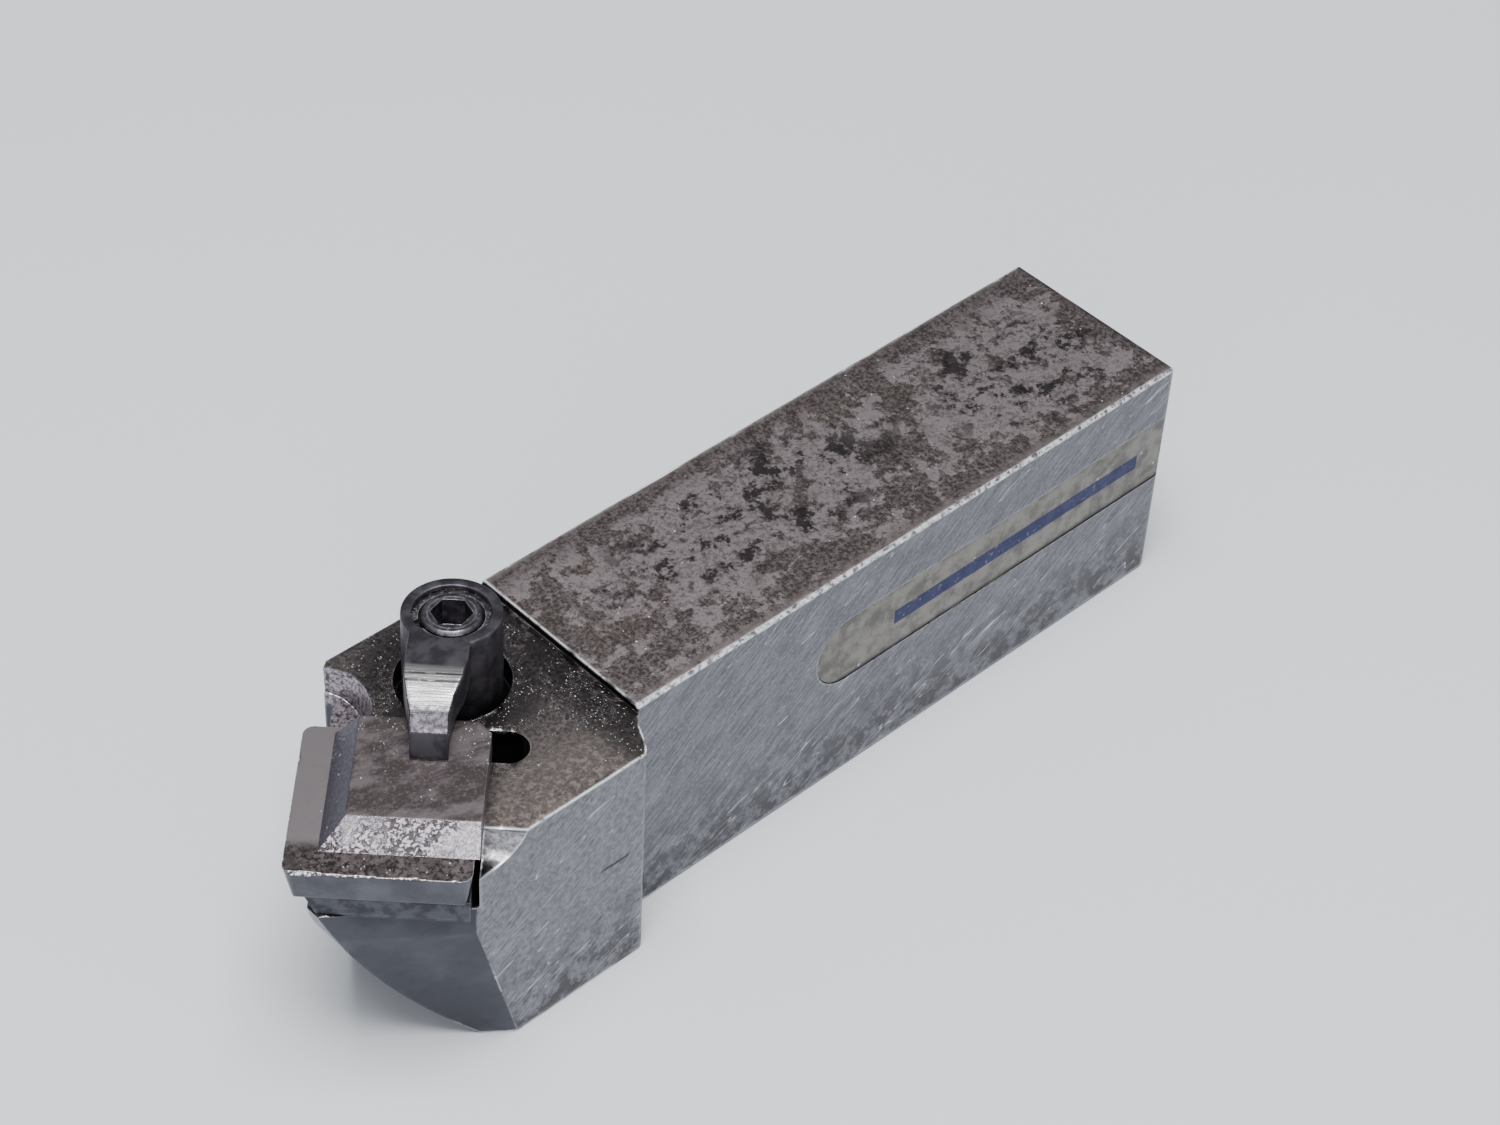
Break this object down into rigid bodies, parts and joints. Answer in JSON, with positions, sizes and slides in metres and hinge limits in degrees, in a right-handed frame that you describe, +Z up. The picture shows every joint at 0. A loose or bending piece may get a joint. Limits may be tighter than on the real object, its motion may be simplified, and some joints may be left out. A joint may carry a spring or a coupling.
{
  "type": "indexable turning toolholder",
  "caption": "Right-hand rectangular-shank turning toolholder with a 45 degree lead, a square carbide insert on a shim, a loose chipbreaker plate and a finger clamp with a hex socket screw.",
  "frame": {"origin": "on the shank's seating face, mid-width, below the shoulder between shank and head", "axes": "+X along the shank towards its back end, -Y towards the work side, +Z up"},
  "size_m": [0.1266, 0.0341, 0.0407],
  "materials": {
    "holder_steel": "worn black oxide on top, ground satin steel on the sides",
    "strip_foil": "thin grey-beige foil with one plain blue line along it",
    "shim_carbide": "ground carbide",
    "screw_steel": "black oxide with worn edges",
    "insert_carbide": "uncoated ground carbide, chipped along the front edge",
    "chipbreaker_carbide": "pressed carbide, smooth top and pitted front slope",
    "clamp_steel": "black oxide, ground bright on the finger's slope",
    "ring_steel": "dark spring steel"
  },
  "bodies": {
    "holder": {"holder_body": "holder_steel", "name_strip": "strip_foil", "shim": "shim_carbide", "shim_screw": "screw_steel"},
    "insert": {"insert": "insert_carbide"},
    "chipbreaker": {"chipbreaker": "chipbreaker_carbide"},
    "lift_ring": {"retaining_ring": "ring_steel"},
    "clamp": {"clamp": "clamp_steel"},
    "clamp_screw": {"clamp_screw": "screw_steel"}
  },
  "joints": [
    {"name": "screw_turn", "type": "hinge", "parent": "lift_ring", "child": "clamp_screw", "pos_m": [-0.011, 0.0042, 0.0402], "axis": [0.0432, 0.0432, 0.9981], "range_deg": [0, 1440]},
    {"name": "clamp_lift", "type": "slide", "parent": "holder", "child": "lift_ring", "axis": [0.0432, 0.0432, 0.9981], "range_m": [0, 0.004]},
    {"name": "clamp_swing", "type": "hinge", "parent": "lift_ring", "child": "clamp", "pos_m": [-0.011, 0.0042, 0.0402], "axis": [0.0432, 0.0432, 0.9981], "range_deg": [0, 70]},
    {"name": "insert_slide", "type": "slide", "parent": "holder", "child": "insert", "axis": [-0.9988, 0.0012, -0.0493], "range_m": [0, 0.027]},
    {"name": "chipbreaker_slide", "type": "slide", "parent": "insert", "child": "chipbreaker", "axis": [-0.9988, 0.0012, -0.0493], "range_m": [0, 0.015]}
  ],
  "couplings": [
    {"joint": "screw_turn", "follows": "clamp_lift", "rad_per_m": 6283.2},
    {"joint": "clamp_swing", "follows": "clamp_lift", "rad_per_m": 305.4}
  ]
}
